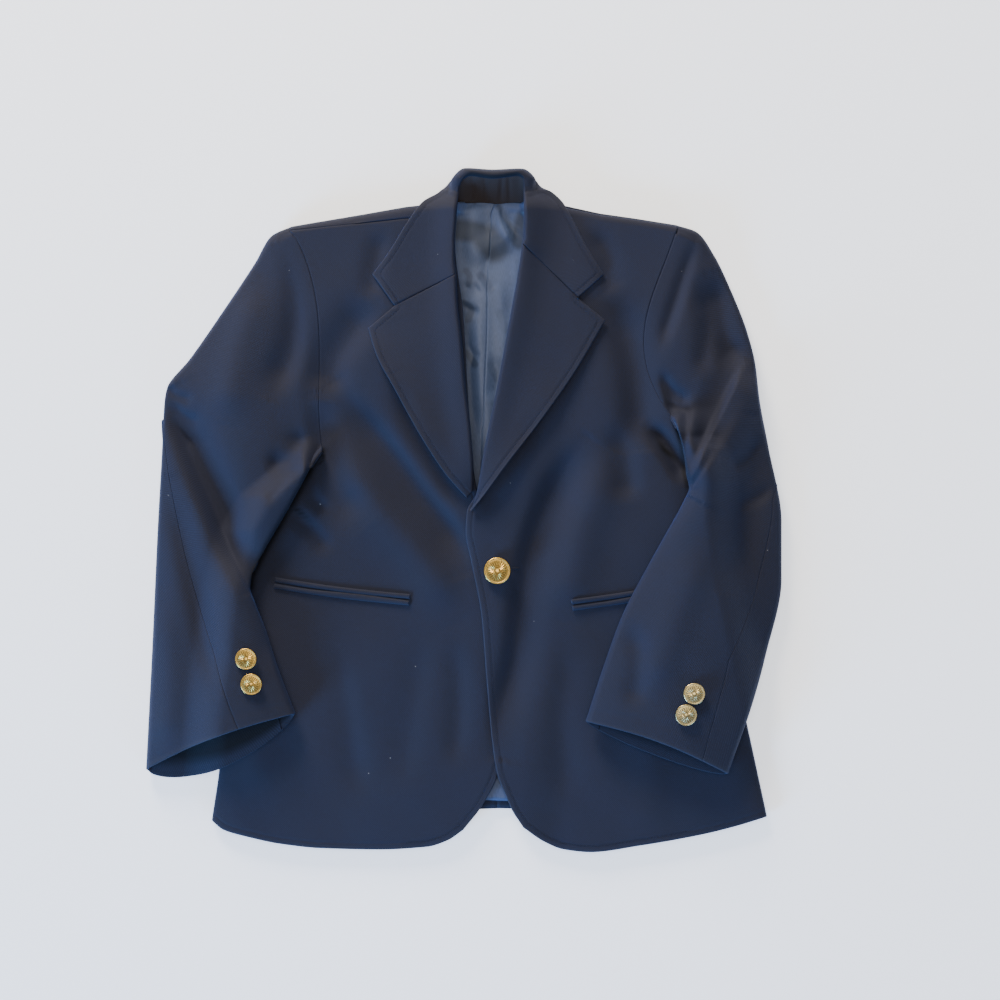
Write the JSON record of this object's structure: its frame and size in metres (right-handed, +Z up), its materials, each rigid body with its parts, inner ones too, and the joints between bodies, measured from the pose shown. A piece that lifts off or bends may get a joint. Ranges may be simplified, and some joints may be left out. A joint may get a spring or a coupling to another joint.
{
  "type": "blazer",
  "caption": "Navy wool single-breasted blazer for a boy, with notched lapels and metal buttons, laid flat on its back and buttoned.",
  "frame": {"origin": "centre of the outline as it lies, on the surface under the back", "axes": "+X from the wearer's right sleeve to the left one, +Y from the hem to the collar, +Z up from the surface, out of the fronts"},
  "size_m": [0.485, 0.5206, 0.0386],
  "materials": {
    "wool": "matte",
    "satin": "satin",
    "gilt": "polished"
  },
  "bodies": {
    "root": {"right_back": "wool", "left_back": "wool", "right_front": "wool", "left_front": "wool", "right_top_sleeve": "wool", "right_under_sleeve": "wool", "left_top_sleeve": "wool", "left_under_sleeve": "wool", "right_lapel": "wool", "left_lapel": "wool", "collar": "wool", "collar_stand": "wool", "right_pocket_upper_welt": "wool", "right_pocket_lower_welt": "wool", "left_pocket_upper_welt": "wool", "left_pocket_lower_welt": "wool", "right_lining": "satin", "left_lining": "satin", "front_button": "gilt", "right_cuff_button_1": "gilt", "right_cuff_button_2": "gilt", "left_cuff_button_1": "gilt", "left_cuff_button_2": "gilt"}
  },
  "joints": []
}
